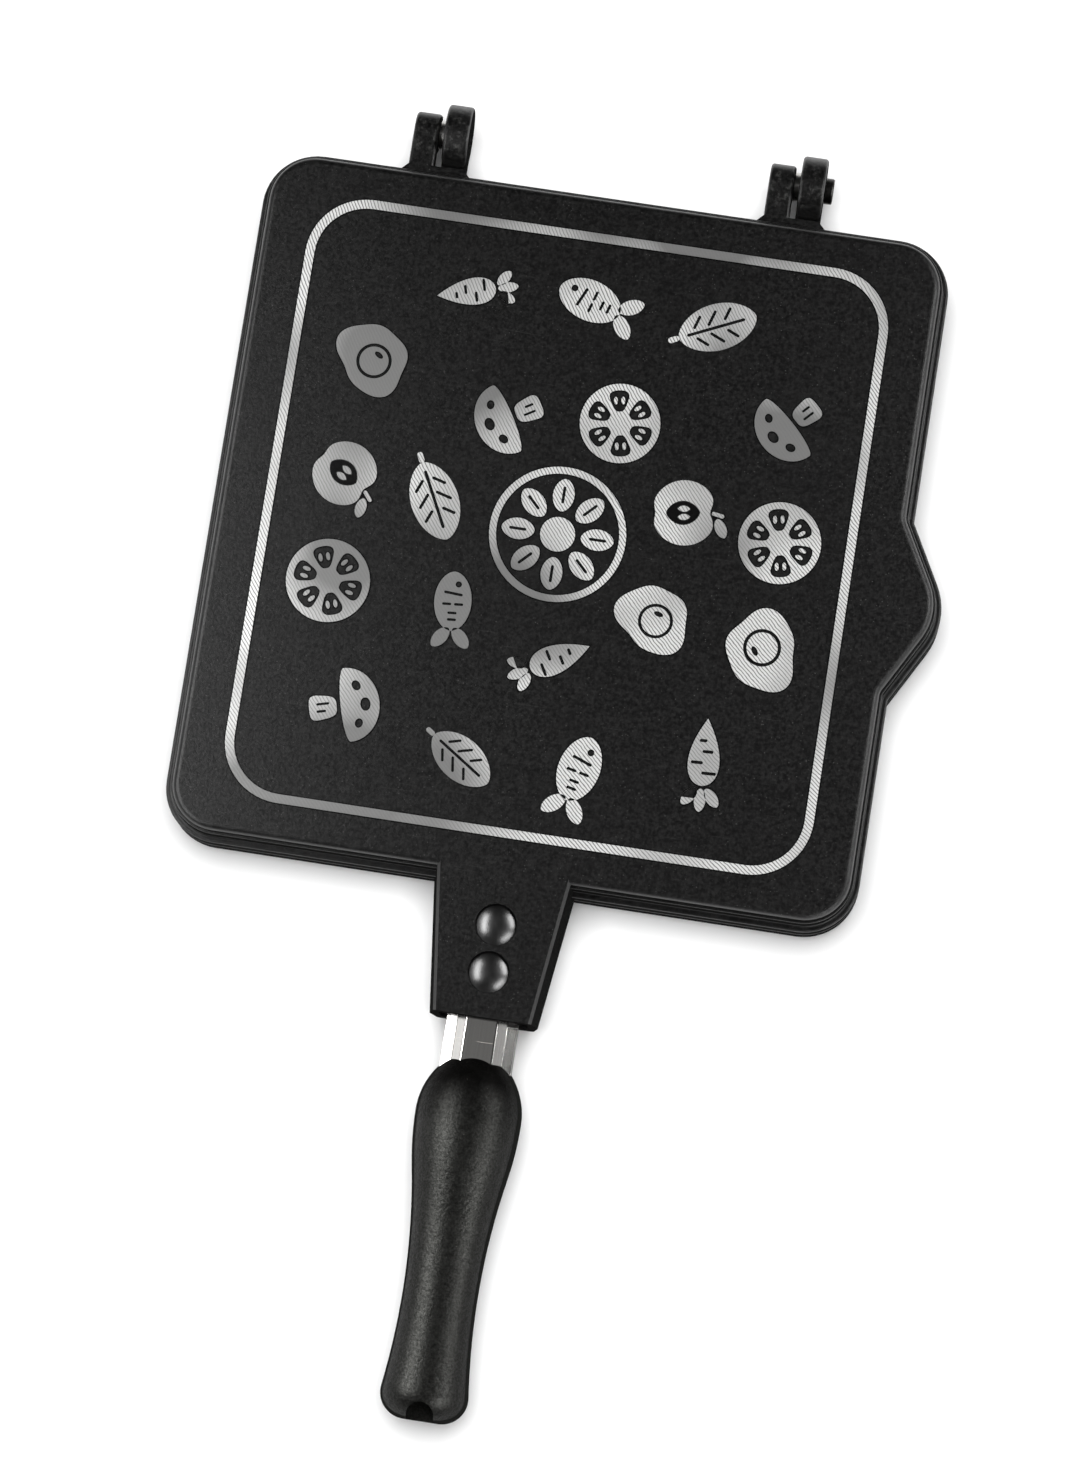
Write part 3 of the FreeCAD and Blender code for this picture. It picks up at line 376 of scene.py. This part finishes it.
def fried_egg():
    def edge(a):
        return 12.2 + 1.3 * math.sin(2 * a + 0.6) + 0.9 * math.sin(3 * a + 1.9) + 0.5 * math.sin(5 * a)

    return [polar(edge), oval(1.0, 0.4, 6.2, 6.2), oval(1.0, 0.4, 5.1, 5.1), oval(-0.9, 2.3, 1.7, 0.9, 45)]


def apple_half():
    top, bottom = math.pi / 2, -math.pi / 2
    skin = polar(lambda a: 11.8 - 2.6 * dip(a, top, 0.36) - 1.4 * dip(a, bottom, 0.3))
    core = blade((0, -6.6), (0, 5.6), 4.4, 0.7)
    pips = [blade((side * 1.6, -2.4), (side * 1.4, 2.0), 1.1) for side in (-1, 1)]
    return [skin, core, *pips, slot(0.7, 12.0, 4.6, 1.4, 72), blade((2.2, 11.6), (9.0, 14.4), 2.0, 0.6)]


def rosette():
    loops = [oval(0, 0, radius, radius) for radius in (rosette_radius, rosette_radius - rosette_band)]
    for k in range(8):
        c, s = math.cos(math.tau * k / 8), math.sin(math.tau * k / 8)
        loops.append(blade((8.0 * c, 8.0 * s), (19.4 * c, 19.4 * s), 3.7, 0.6))
        loops.append(slot(13.8 * c, 13.8 * s, 6.0, 1.0, 45 * k))
    return loops


def inside(point, loop):
    """Whether a point lies in a closed outline."""
    x, y = point
    crossed = False
    for (x0, y0), (x1, y1) in zip(loop, loop[1:] + loop[:1]):
        if (y0 > y) != (y1 > y) and x < x0 + (y - y0) / (y1 - y0) * (x1 - x0):
            crossed = not crossed
    return crossed


def widened(loops, by):
    """Outlines moved outwards, and those of holes inwards, by a distance in millimetres."""
    result = []
    for loop in loops:
        hole = sum(inside(loop[0], other) for other in loops if other is not loop) % 2
        area = sum(x0 * y1 - x1 * y0 for (x0, y0), (x1, y1) in zip(loop, loop[1:] + loop[:1]))
        sign = math.copysign(by, area) * (-1 if hole else 1)
        moved = []
        for (x0, y0), (x1, y1), (x2, y2) in zip(loop[-1:] + loop[:-1], loop, loop[1:] + loop[:1]):
            side = (y2 - y0, x0 - x2)
            length = math.hypot(*side) or 1.0
            moved.append((x1 + sign * side[0] / length, y1 + sign * side[1] / length))
        result.append(moved)
    return result


def island(name, loops, rise):
    """A mesh of flat islands with holes, from its root in the face up to a height under the milled tops."""
    outline = bpy.data.curves.new(name, "CURVE")
    outline.dimensions = "2D"
    outline.fill_mode = "BOTH"
    outline.extrude = (rise + island_root) / 2
    for loop in loops:
        spline = outline.splines.new("POLY")
        spline.points.add(len(loop) - 1)
        spline.use_cyclic_u = True
        for point, (x, y) in zip(spline.points, loop):
            point.co = (x * MM, y * MM, 0.0, 1.0)
    drawn = bpy.data.objects.new(name + "_outline", outline)
    mesh = bpy.data.meshes.new_from_object(drawn)
    bpy.data.objects.remove(drawn)
    mesh.transform(Matrix.Translation((0, 0, rise - island_height - outline.extrude)))
    shape = bmesh.new()
    shape.from_mesh(mesh)
    bmesh.ops.remove_doubles(shape, verts=shape.verts, dist=1e-7)
    bmesh.ops.recalc_face_normals(shape, faces=shape.faces)
    shape.to_mesh(mesh)
    shape.free()
    mesh.name = name
    return mesh


def raised(name, loops, round_others=()):
    """Islands with milled tops on a low skirt; the finish colours the skirts and sides darker."""
    shape = bmesh.new()
    shape.from_mesh(island(name + "_tops", loops, island_height))
    shape.from_mesh(island(name + "_skirts", widened([*loops, *round_others], skirt_width), skirt_height))
    mesh = bpy.data.meshes.new(name)
    shape.to_mesh(mesh)
    shape.free()
    return mesh


def rounded_square(width, length, corner):
    """The outline of the raised line, about the middle of the face."""
    points = []
    for quarter, (side_x, side_y) in enumerate(((1, 1), (-1, 1), (-1, -1), (1, -1))):
        for k in range(ring_steps // 4 + 1):
            a = math.pi / 2 * (quarter + k / (ring_steps // 4))
            points.append((side_x * (width / 2 - corner) + corner * math.cos(a),
                           side_y * (length / 2 - corner) + corner * math.sin(a)))
    return points


motifs = bpy.data.collections.new("motifs")
for number, draw in enumerate((tomato_slice, mushroom, leaf, fish, carrot, fried_egg, apple_half)):
    shape_name = f"motif_{number}"
    motifs.objects.link(bpy.data.objects.new(shape_name, raised(shape_name, draw())))
line_width, line_length, line_corner, line_band, hub = 202.6, 212.0, 21.0, 3.1, 6.0
beside_cast_lines = [
    rounded_square(line_width, line_length, line_corner),
    rounded_square(line_width - 2 * line_band, line_length - 2 * line_band, line_corner - line_band),
    oval(0, 0, hub, hub),
]
middle_motif = bpy.data.objects.new("rosette", raised("rosette", rosette(), beside_cast_lines))

# The layout tree sets motifs on a square-shouldered outer ring and a round inner one, each turned at random
layout = bpy.data.node_groups.new("ornament_layout", "GeometryNodeTree")
layout.interface.new_socket("Geometry", in_out="OUTPUT", socket_type="NodeSocketGeometry")
layout_inputs = {}
for label, kind, value in (
    ("Motifs", "NodeSocketCollection", motifs),
    ("Rosette", "NodeSocketObject", middle_motif),
    ("Finish", "NodeSocketMaterial", coated_casting),
    ("Outer Count", "NodeSocketInt", 13),
    ("Inner Count", "NodeSocketInt", 7),
    ("Half Width", "NodeSocketFloat", 75.5 * MM),
    ("Half Length", "NodeSocketFloat", 81.5 * MM),
    ("Shoulder", "NodeSocketFloat", 4.0),
    ("Inner Radius", "NodeSocketFloat", 44.0 * MM),
    ("Top", "NodeSocketFloat", face_high),
    ("Seed", "NodeSocketInt", 11),
):
    made = layout.interface.new_socket(label, in_out="INPUT", socket_type=kind)
    layout_inputs[label] = (made.identifier, value)
given = node(layout, "NodeGroupInput").outputs
index = node(layout, "GeometryNodeInputIndex").outputs[0]


def ring_of_points(count, start, radius_for):
    """Points round the face: an angle for each index, and a radius that a rule gives for the angle."""
    turn = maths(layout, "MULTIPLY", maths(layout, "DIVIDE", index, count), math.tau)
    turn = maths(layout, "ADD", turn, start)
    c, s = maths(layout, "COSINE", turn), maths(layout, "SINE", turn)
    radius = radius_for(c, s)
    x, y = maths(layout, "MULTIPLY", radius, c), maths(layout, "MULTIPLY", radius, s)
    spot = node(layout, "ShaderNodeCombineXYZ", {"X": x, "Y": y, "Z": given["Top"]})
    return node(layout, "GeometryNodePoints", {"Count": count, "Position": spot.outputs[0]}).outputs[0]


def square_shoulder(c, s):
    """Radius of a square with rounded corners, by the superellipse rule."""
    shares = []
    for share, half in ((c, "Half Width"), (s, "Half Length")):
        share = maths(layout, "ABSOLUTE", maths(layout, "DIVIDE", share, given[half]))
        shares.append(maths(layout, "POWER", share, given["Shoulder"]))
    inverse = maths(layout, "DIVIDE", -1.0, given["Shoulder"])
    return maths(layout, "POWER", maths(layout, "ADD", *shares), inverse)


outer_start, inner_start = 0.11, 0.32
outer_ring = ring_of_points(given["Outer Count"], outer_start, square_shoulder)
inner_ring = ring_of_points(given["Inner Count"], inner_start, lambda c, s: given["Inner Radius"])
spots = node(layout, "GeometryNodeJoinGeometry")
for ring in (inner_ring, outer_ring):
    layout.links.new(ring, spots.inputs[0])
shapes = node(layout, "GeometryNodeCollectionInfo", {
    "Collection": given["Motifs"], "Separate Children": True, "Reset Children": True})
turned = node(layout, "FunctionNodeRandomValue", {"Seed": given["Seed"]}, data_type="FLOAT")
turned.inputs[3].default_value = math.tau
next_seed = maths(layout, "ADD", given["Seed"], 1.0)
sized = node(layout, "FunctionNodeRandomValue", {"Seed": next_seed}, data_type="FLOAT")
least_scale, most_scale = 0.92, 1.1
sized.inputs[2].default_value = least_scale
sized.inputs[3].default_value = most_scale
attitude = node(layout, "ShaderNodeCombineXYZ", {"Z": turned.outputs[1]})
spread = node(layout, "ShaderNodeCombineXYZ", {"X": sized.outputs[1], "Y": sized.outputs[1], "Z": 1.0})
scattered = node(layout, "GeometryNodeInstanceOnPoints", {
    "Points": spots.outputs[0], "Instance": shapes.outputs[0], "Pick Instance": True, "Instance Index": index,
    "Rotation": attitude.outputs[0], "Scale": spread.outputs[0]})
centre = node(layout, "GeometryNodeObjectInfo", {"Object": given["Rosette"]})
centre_up = node(layout, "ShaderNodeCombineXYZ", {"Z": given["Top"]})
centred = node(layout, "GeometryNodeTransform", {
    "Geometry": centre.outputs["Geometry"], "Translation": centre_up.outputs[0]})
together = node(layout, "GeometryNodeJoinGeometry")
for part in (scattered.outputs[0], centred.outputs[0]):
    layout.links.new(part, together.inputs[0])
real = node(layout, "GeometryNodeRealizeInstances", {"Geometry": together.outputs[0]})
dressed = node(layout, "GeometryNodeSetMaterial", {"Geometry": real.outputs[0], "Material": given["Finish"]})
layout.links.new(dressed.outputs[0], node(layout, "NodeGroupOutput").inputs[0])

carrier = bpy.data.objects.new("ornament_carrier", bpy.data.meshes.new("ornament_carrier"))
bpy.context.scene.collection.objects.link(carrier)
modifier = carrier.modifiers.new("layout", "NODES")
modifier.node_group = layout
for identifier, value in layout_inputs.values():
    modifier[identifier] = value
ready = carrier.evaluated_get(bpy.context.evaluated_depsgraph_get())
upper_islands = bpy.data.meshes.new_from_object(ready)
carrier.modifiers.remove(modifier)
bpy.data.objects.remove(carrier)
for shape in (*motifs.objects, middle_motif):
    bpy.data.objects.remove(shape)
bpy.data.collections.remove(motifs)
lower_islands = upper_islands.copy()
turn_over = Matrix.Translation((0, 0, face_low + face_high)) @ Matrix.Rotation(math.pi, 4, "Y")
lower_islands.transform(turn_over)
for name, mesh, body in (
    ("upper_ornament", upper_islands, "upper_half"),
    ("lower_ornament", lower_islands, "lower_half"),
):
    piece = bpy.data.objects.new(name, mesh)
    bpy.context.scene.collection.objects.link(piece)
    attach(piece, body)

# Stems
# Stainless strip folded to a hat section, bright from polishing, with a few scratches. Its front end lies in
# the tongue under the rivets, and its rear end runs into the grip.
stem_steel, tree, shader, place = new_finish("stem_steel_finish")
steel_dark = (0.56, 0.55, 0.53)
steel_light = (0.66, 0.65, 0.63)
steel_scratched = (0.86, 0.80, 0.72)
scratch_share, scratch_metallic = 0.6, 0.7
streaks = grain(tree, stretched(tree, place, (2600.0, 18.0, 2600.0)), 1.0, 2.0)
scratch = hairlines(tree, place, 0.7, (1.0, 2.0, 0.0))
steel = blend_colour(tree, remap(tree, streaks, 0.3, 0.7), steel_dark, steel_light)
steel = blend_colour(tree, maths(tree, "MULTIPLY", scratch, scratch_share), steel, steel_scratched)
drive(
    tree, shader,
    Base_Color=steel,
    Metallic=remap(tree, scratch, 0.0, 1.0, 1.0, scratch_metallic),
    Roughness=remap(tree, streaks, 0.25, 0.75, 0.13, 0.18),
    Normal=relief(tree, streaks, 0.0000015, 0.5),
)
dress(stem_steel, "lower_stem", "upper_stem")

# Rivets
# Two domed steel rivets in each tongue, set from outside and lacquered black, smooth but for a faint peel.
rivet_lacquer, tree, shader, place = new_finish("rivet_lacquer_finish", Specular_IOR_Level=0.9)
lacquer_dark = (0.0010, 0.0010, 0.0010)
lacquer_light = (0.0024, 0.0024, 0.0023)
peel = grain(tree, place, 420.0, 2.0)
drive(
    tree, shader,
    Base_Color=blend_colour(tree, peel, lacquer_dark, lacquer_light),
    Roughness=remap(tree, peel, 0.3, 0.7, 0.31, 0.35),
    Normal=relief(tree, peel, 0.00001, 0.35),
)
dress(rivet_lacquer, "lower_front_rivet", "lower_rear_rivet", "upper_front_rivet", "upper_rear_rivet")

# Grips
# Half grips moulded in black phenolic, matt, with a fine mottle where the resin flowed and the mould wore.
# Hands have rubbed a low gloss on all but the nose and the sides, and the sides are painted paler as a
# painted floor reflection.
resin_tint = (0.97, 0.98, 0.92, 1.0)
grip_moulding, tree, shader, place = new_finish("grip_moulding_finish", Specular_Tint=resin_tint)
resin_dark = (0.0013, 0.0013, 0.0012)
resin_light = (0.0032, 0.0031, 0.0029)
resin_speck = (0.05, 0.048, 0.045)
resin_side_painted_reflection = (0.017, 0.017, 0.016)
nose_end = -0.1775
held_from, held_fully = nose_end - 0.011, nose_end - 0.030
nose_share, grip_gloss = 0.08, 0.28
mottle = grain(tree, place, 260.0, 5.0, 0.65)
pores = grain(tree, place, 700.0, 4.0, 0.7)
upright = facing_up(tree)
resin = blend_colour(tree, remap(tree, mottle, 0.35, 0.68), resin_dark, resin_light)
speckled = maths(tree, "MULTIPLY", specks(tree, place, 900.0, 0.15), remap(tree, mottle, 0.55, 0.62))
resin = blend_colour(tree, speckled, resin, resin_speck)
# Painted reflection: the sides get a paler colour in place of the floor's glare
resin = blend_colour(tree, remap(tree, upright, 0.25, 0.6, 1.0, 0.0), resin, resin_side_painted_reflection)
held = remap(tree, coordinate(tree, place, "Y"), held_fully, held_from, 1.0, nose_share)
rub = remap(tree, grain(tree, place, 1300.0, 3.0, 0.6), 0.38, 0.62, 0.7, 1.35)
polish = maths(tree, "MULTIPLY", held, rub)
polish = maths(tree, "MULTIPLY", polish, remap(tree, upright, 0.35, 0.85, 0.0, grip_gloss))
drive(
    tree, shader,
    Base_Color=resin,
    Roughness=remap(tree, pores, 0.35, 0.65, 0.30, 0.50),
    Specular_IOR_Level=polish,
    Normal=relief(tree, pores, 0.0002),
)
dress(grip_moulding, "lower_grip", "upper_grip")

# Grip fasteners
# A threaded steel bush closes the end of each stem, and a long plated screw through the grip's end pulls the
# grip on to it.
fastener_steel, tree, shader, place = new_finish("fastener_steel_finish", Metallic=1.0)
plating_dark = (0.42, 0.42, 0.41)
plating_light = (0.62, 0.61, 0.58)
plating = grain(tree, place, 900.0, 3.0)
drive(
    tree, shader,
    Base_Color=blend_colour(tree, plating, plating_dark, plating_light),
    Roughness=remap(tree, plating, 0.3, 0.7, 0.24, 0.4),
)
dress(fastener_steel, "lower_grip_bush", "lower_grip_screw", "upper_grip_bush", "upper_grip_screw")

# Magnets
# A ferrite disc glued flush in the flat of each grip, dark grey with a sintered grain. The pair holds the pan
# shut.
magnet_ferrite, tree, shader, place = new_finish("magnet_ferrite_finish")
ferrite_dark = (0.018, 0.018, 0.019)
ferrite_light = (0.05, 0.05, 0.052)
sinter = grain(tree, place, 1800.0, 3.0)
drive(
    tree, shader,
    Base_Color=blend_colour(tree, sinter, ferrite_dark, ferrite_light),
    Roughness=remap(tree, sinter, 0.3, 0.7, 0.5, 0.7),
    Normal=relief(tree, sinter, 0.00004, 0.5),
)
dress(magnet_ferrite, "lower_magnet", "upper_magnet")

# Hinge pins and washers
# Blackened steel pins pressed into the upper ears and turning in the lower ones, with a plated washer in each
# gap between the ears.
pin_steel, tree, shader, place = new_finish("pin_steel_finish", Metallic=1.0)
oxide_dark = (0.018, 0.018, 0.018)
oxide_light = (0.06, 0.058, 0.055)
oxide = grain(tree, place, 1100.0, 3.0)
drive(
    tree, shader,
    Base_Color=blend_colour(tree, oxide, oxide_dark, oxide_light),
    Roughness=remap(tree, oxide, 0.3, 0.7, 0.3, 0.48),
    Normal=relief(tree, oxide, 0.00001, 0.5),
)
dress(pin_steel, "left_hinge_pin", "right_hinge_pin")
dress(fastener_steel, "left_hinge_washer", "right_hinge_washer")

# Floor
# A plain white sheet that the pan lies on, just under the milled face.
floor_finish, tree, shader, place = new_finish("floor_finish", Roughness=0.9, Specular_IOR_Level=0.1)
paper_dark = (0.90, 0.90, 0.90)
paper_light = (0.915, 0.915, 0.915)
drive(tree, shader, Base_Color=blend_colour(tree, grain(tree, place, 40.0, 2.0), paper_dark, paper_light))
floor_half = 6.0
floor_drop = 0.00003
floor_signs = ((-1, -1), (1, -1), (1, 1), (-1, 1))
floor_corners = [(x * floor_half, y * floor_half, face_low - floor_drop) for x, y in floor_signs]
floor_mesh = bpy.data.meshes.new("floor")
floor_mesh.from_pydata(floor_corners, [], [(0, 1, 2, 3)])
floor_mesh.materials.append(floor_finish)
floor = bpy.data.objects.new("floor", floor_mesh)
bpy.context.scene.collection.objects.link(floor)

# Lights
# A wide soft box over the pan and an even fill light the floor and all matt surfaces. Three narrow boxes, one
# on the left and two on the right, show only in glossy surfaces, as streaks and lines along the edges. The
# surround is a pale horizon, dimmer to the right and behind the hinge, under a dim ceiling.
target = Vector((0.0, -0.08, parting))
fill_energy = 1.6
fill_spread = math.radians(45)
horizon, between_both, ceiling = 1.1, 0.03, 0.17
dim_right, dim_behind = 0.4, 0.25


def soft_box(name, location, width, height, watts, glossy):
    """A rectangular light turned to the pan, seen only in glossy reflections or only by matt surfaces."""
    lamp = bpy.data.lights.new(name, "AREA")
    lamp.shape = "RECTANGLE"
    lamp.size = width
    lamp.size_y = height
    lamp.energy = watts
    holder = bpy.data.objects.new(name, lamp)
    holder.location = location
    holder.rotation_euler = (target - Vector(location)).to_track_quat("-Z", "Y").to_euler()
    holder.visible_camera = False
    holder.visible_glossy = glossy
    holder.visible_diffuse = not glossy
    bpy.context.scene.collection.objects.link(holder)


soft_box("overhead_box", (0.0, 0.06, 1.55), 1.15, 1.15, 29.0, False)
soft_box("left_box", (-0.28, -0.10, 0.29), 0.46, 0.13, 2.9, True)
soft_box("right_box", (0.40, -0.44, 0.32), 0.44, 0.14, 2.6, True)
soft_box("rim_box", (0.42, 0.09, 0.30), 0.42, 0.12, 3.1, True)
fill = bpy.data.lights.new("fill_light", "SUN")
fill.energy = fill_energy
fill.angle = fill_spread
holder = bpy.data.objects.new("fill_light", fill)
holder.visible_glossy = False
bpy.context.scene.collection.objects.link(holder)
surround = bpy.data.worlds.new("surround")
surround.use_nodes = True
sky = surround.node_tree
way = node(sky, "ShaderNodeTexCoord").outputs["Generated"]
rise = coordinate(sky, way, "Z")
pale = remap(sky, maths(sky, "ABSOLUTE", rise), 0.04, 0.22, horizon, between_both)
pale = maths(sky, "MULTIPLY", pale, remap(sky, coordinate(sky, way, "X"), -0.1, 0.7, 1.0, dim_right))
pale = maths(sky, "MULTIPLY", pale, remap(sky, coordinate(sky, way, "Y"), 0.3, 0.9, 1.0, dim_behind))
pale = maths(sky, "ADD", pale, remap(sky, rise, 0.982, 0.992, 0.0, ceiling))
sky.nodes["Background"].inputs["Color"].default_value = (1.0, 1.0, 1.0, 1.0)
sky.links.new(pale, sky.nodes["Background"].inputs["Strength"])
bpy.context.scene.world = surround
bpy.context.scene.view_settings.view_transform = "Standard"

# Camera
# Above the pan and a little towards the handle, turned so that the handle points down and to the left.
image_height = 1464
focal_pixels = 5870.0
film = 36.0
distance = 2019.0 * MM
aim = Vector((2.6 * MM, -65.9 * MM, parting))
lean_front = math.radians(7.5)
lean_side = math.radians(-2.9)
roll = math.radians(8.61)
across, along = math.sin(lean_side), math.sin(lean_front)
forward = Vector((across, along, -math.sqrt(1 - across**2 - along**2)))
level = (Vector((1, 0, 0)) - forward * forward.x).normalized()
down = forward.cross(level)
right = level * math.cos(roll) - down * math.sin(roll)
up = -(level * math.sin(roll) + down * math.cos(roll))
lens = bpy.data.cameras.new("camera")
lens.sensor_width = film
lens.lens = focal_pixels * film / image_height
lens.clip_end = 50.0
camera = bpy.data.objects.new("camera", lens)
axes = Matrix((right, up, -forward)).transposed().to_4x4()
camera.matrix_world = Matrix.Translation(aim - forward * distance) @ axes
bpy.context.scene.collection.objects.link(camera)
bpy.context.scene.camera = camera
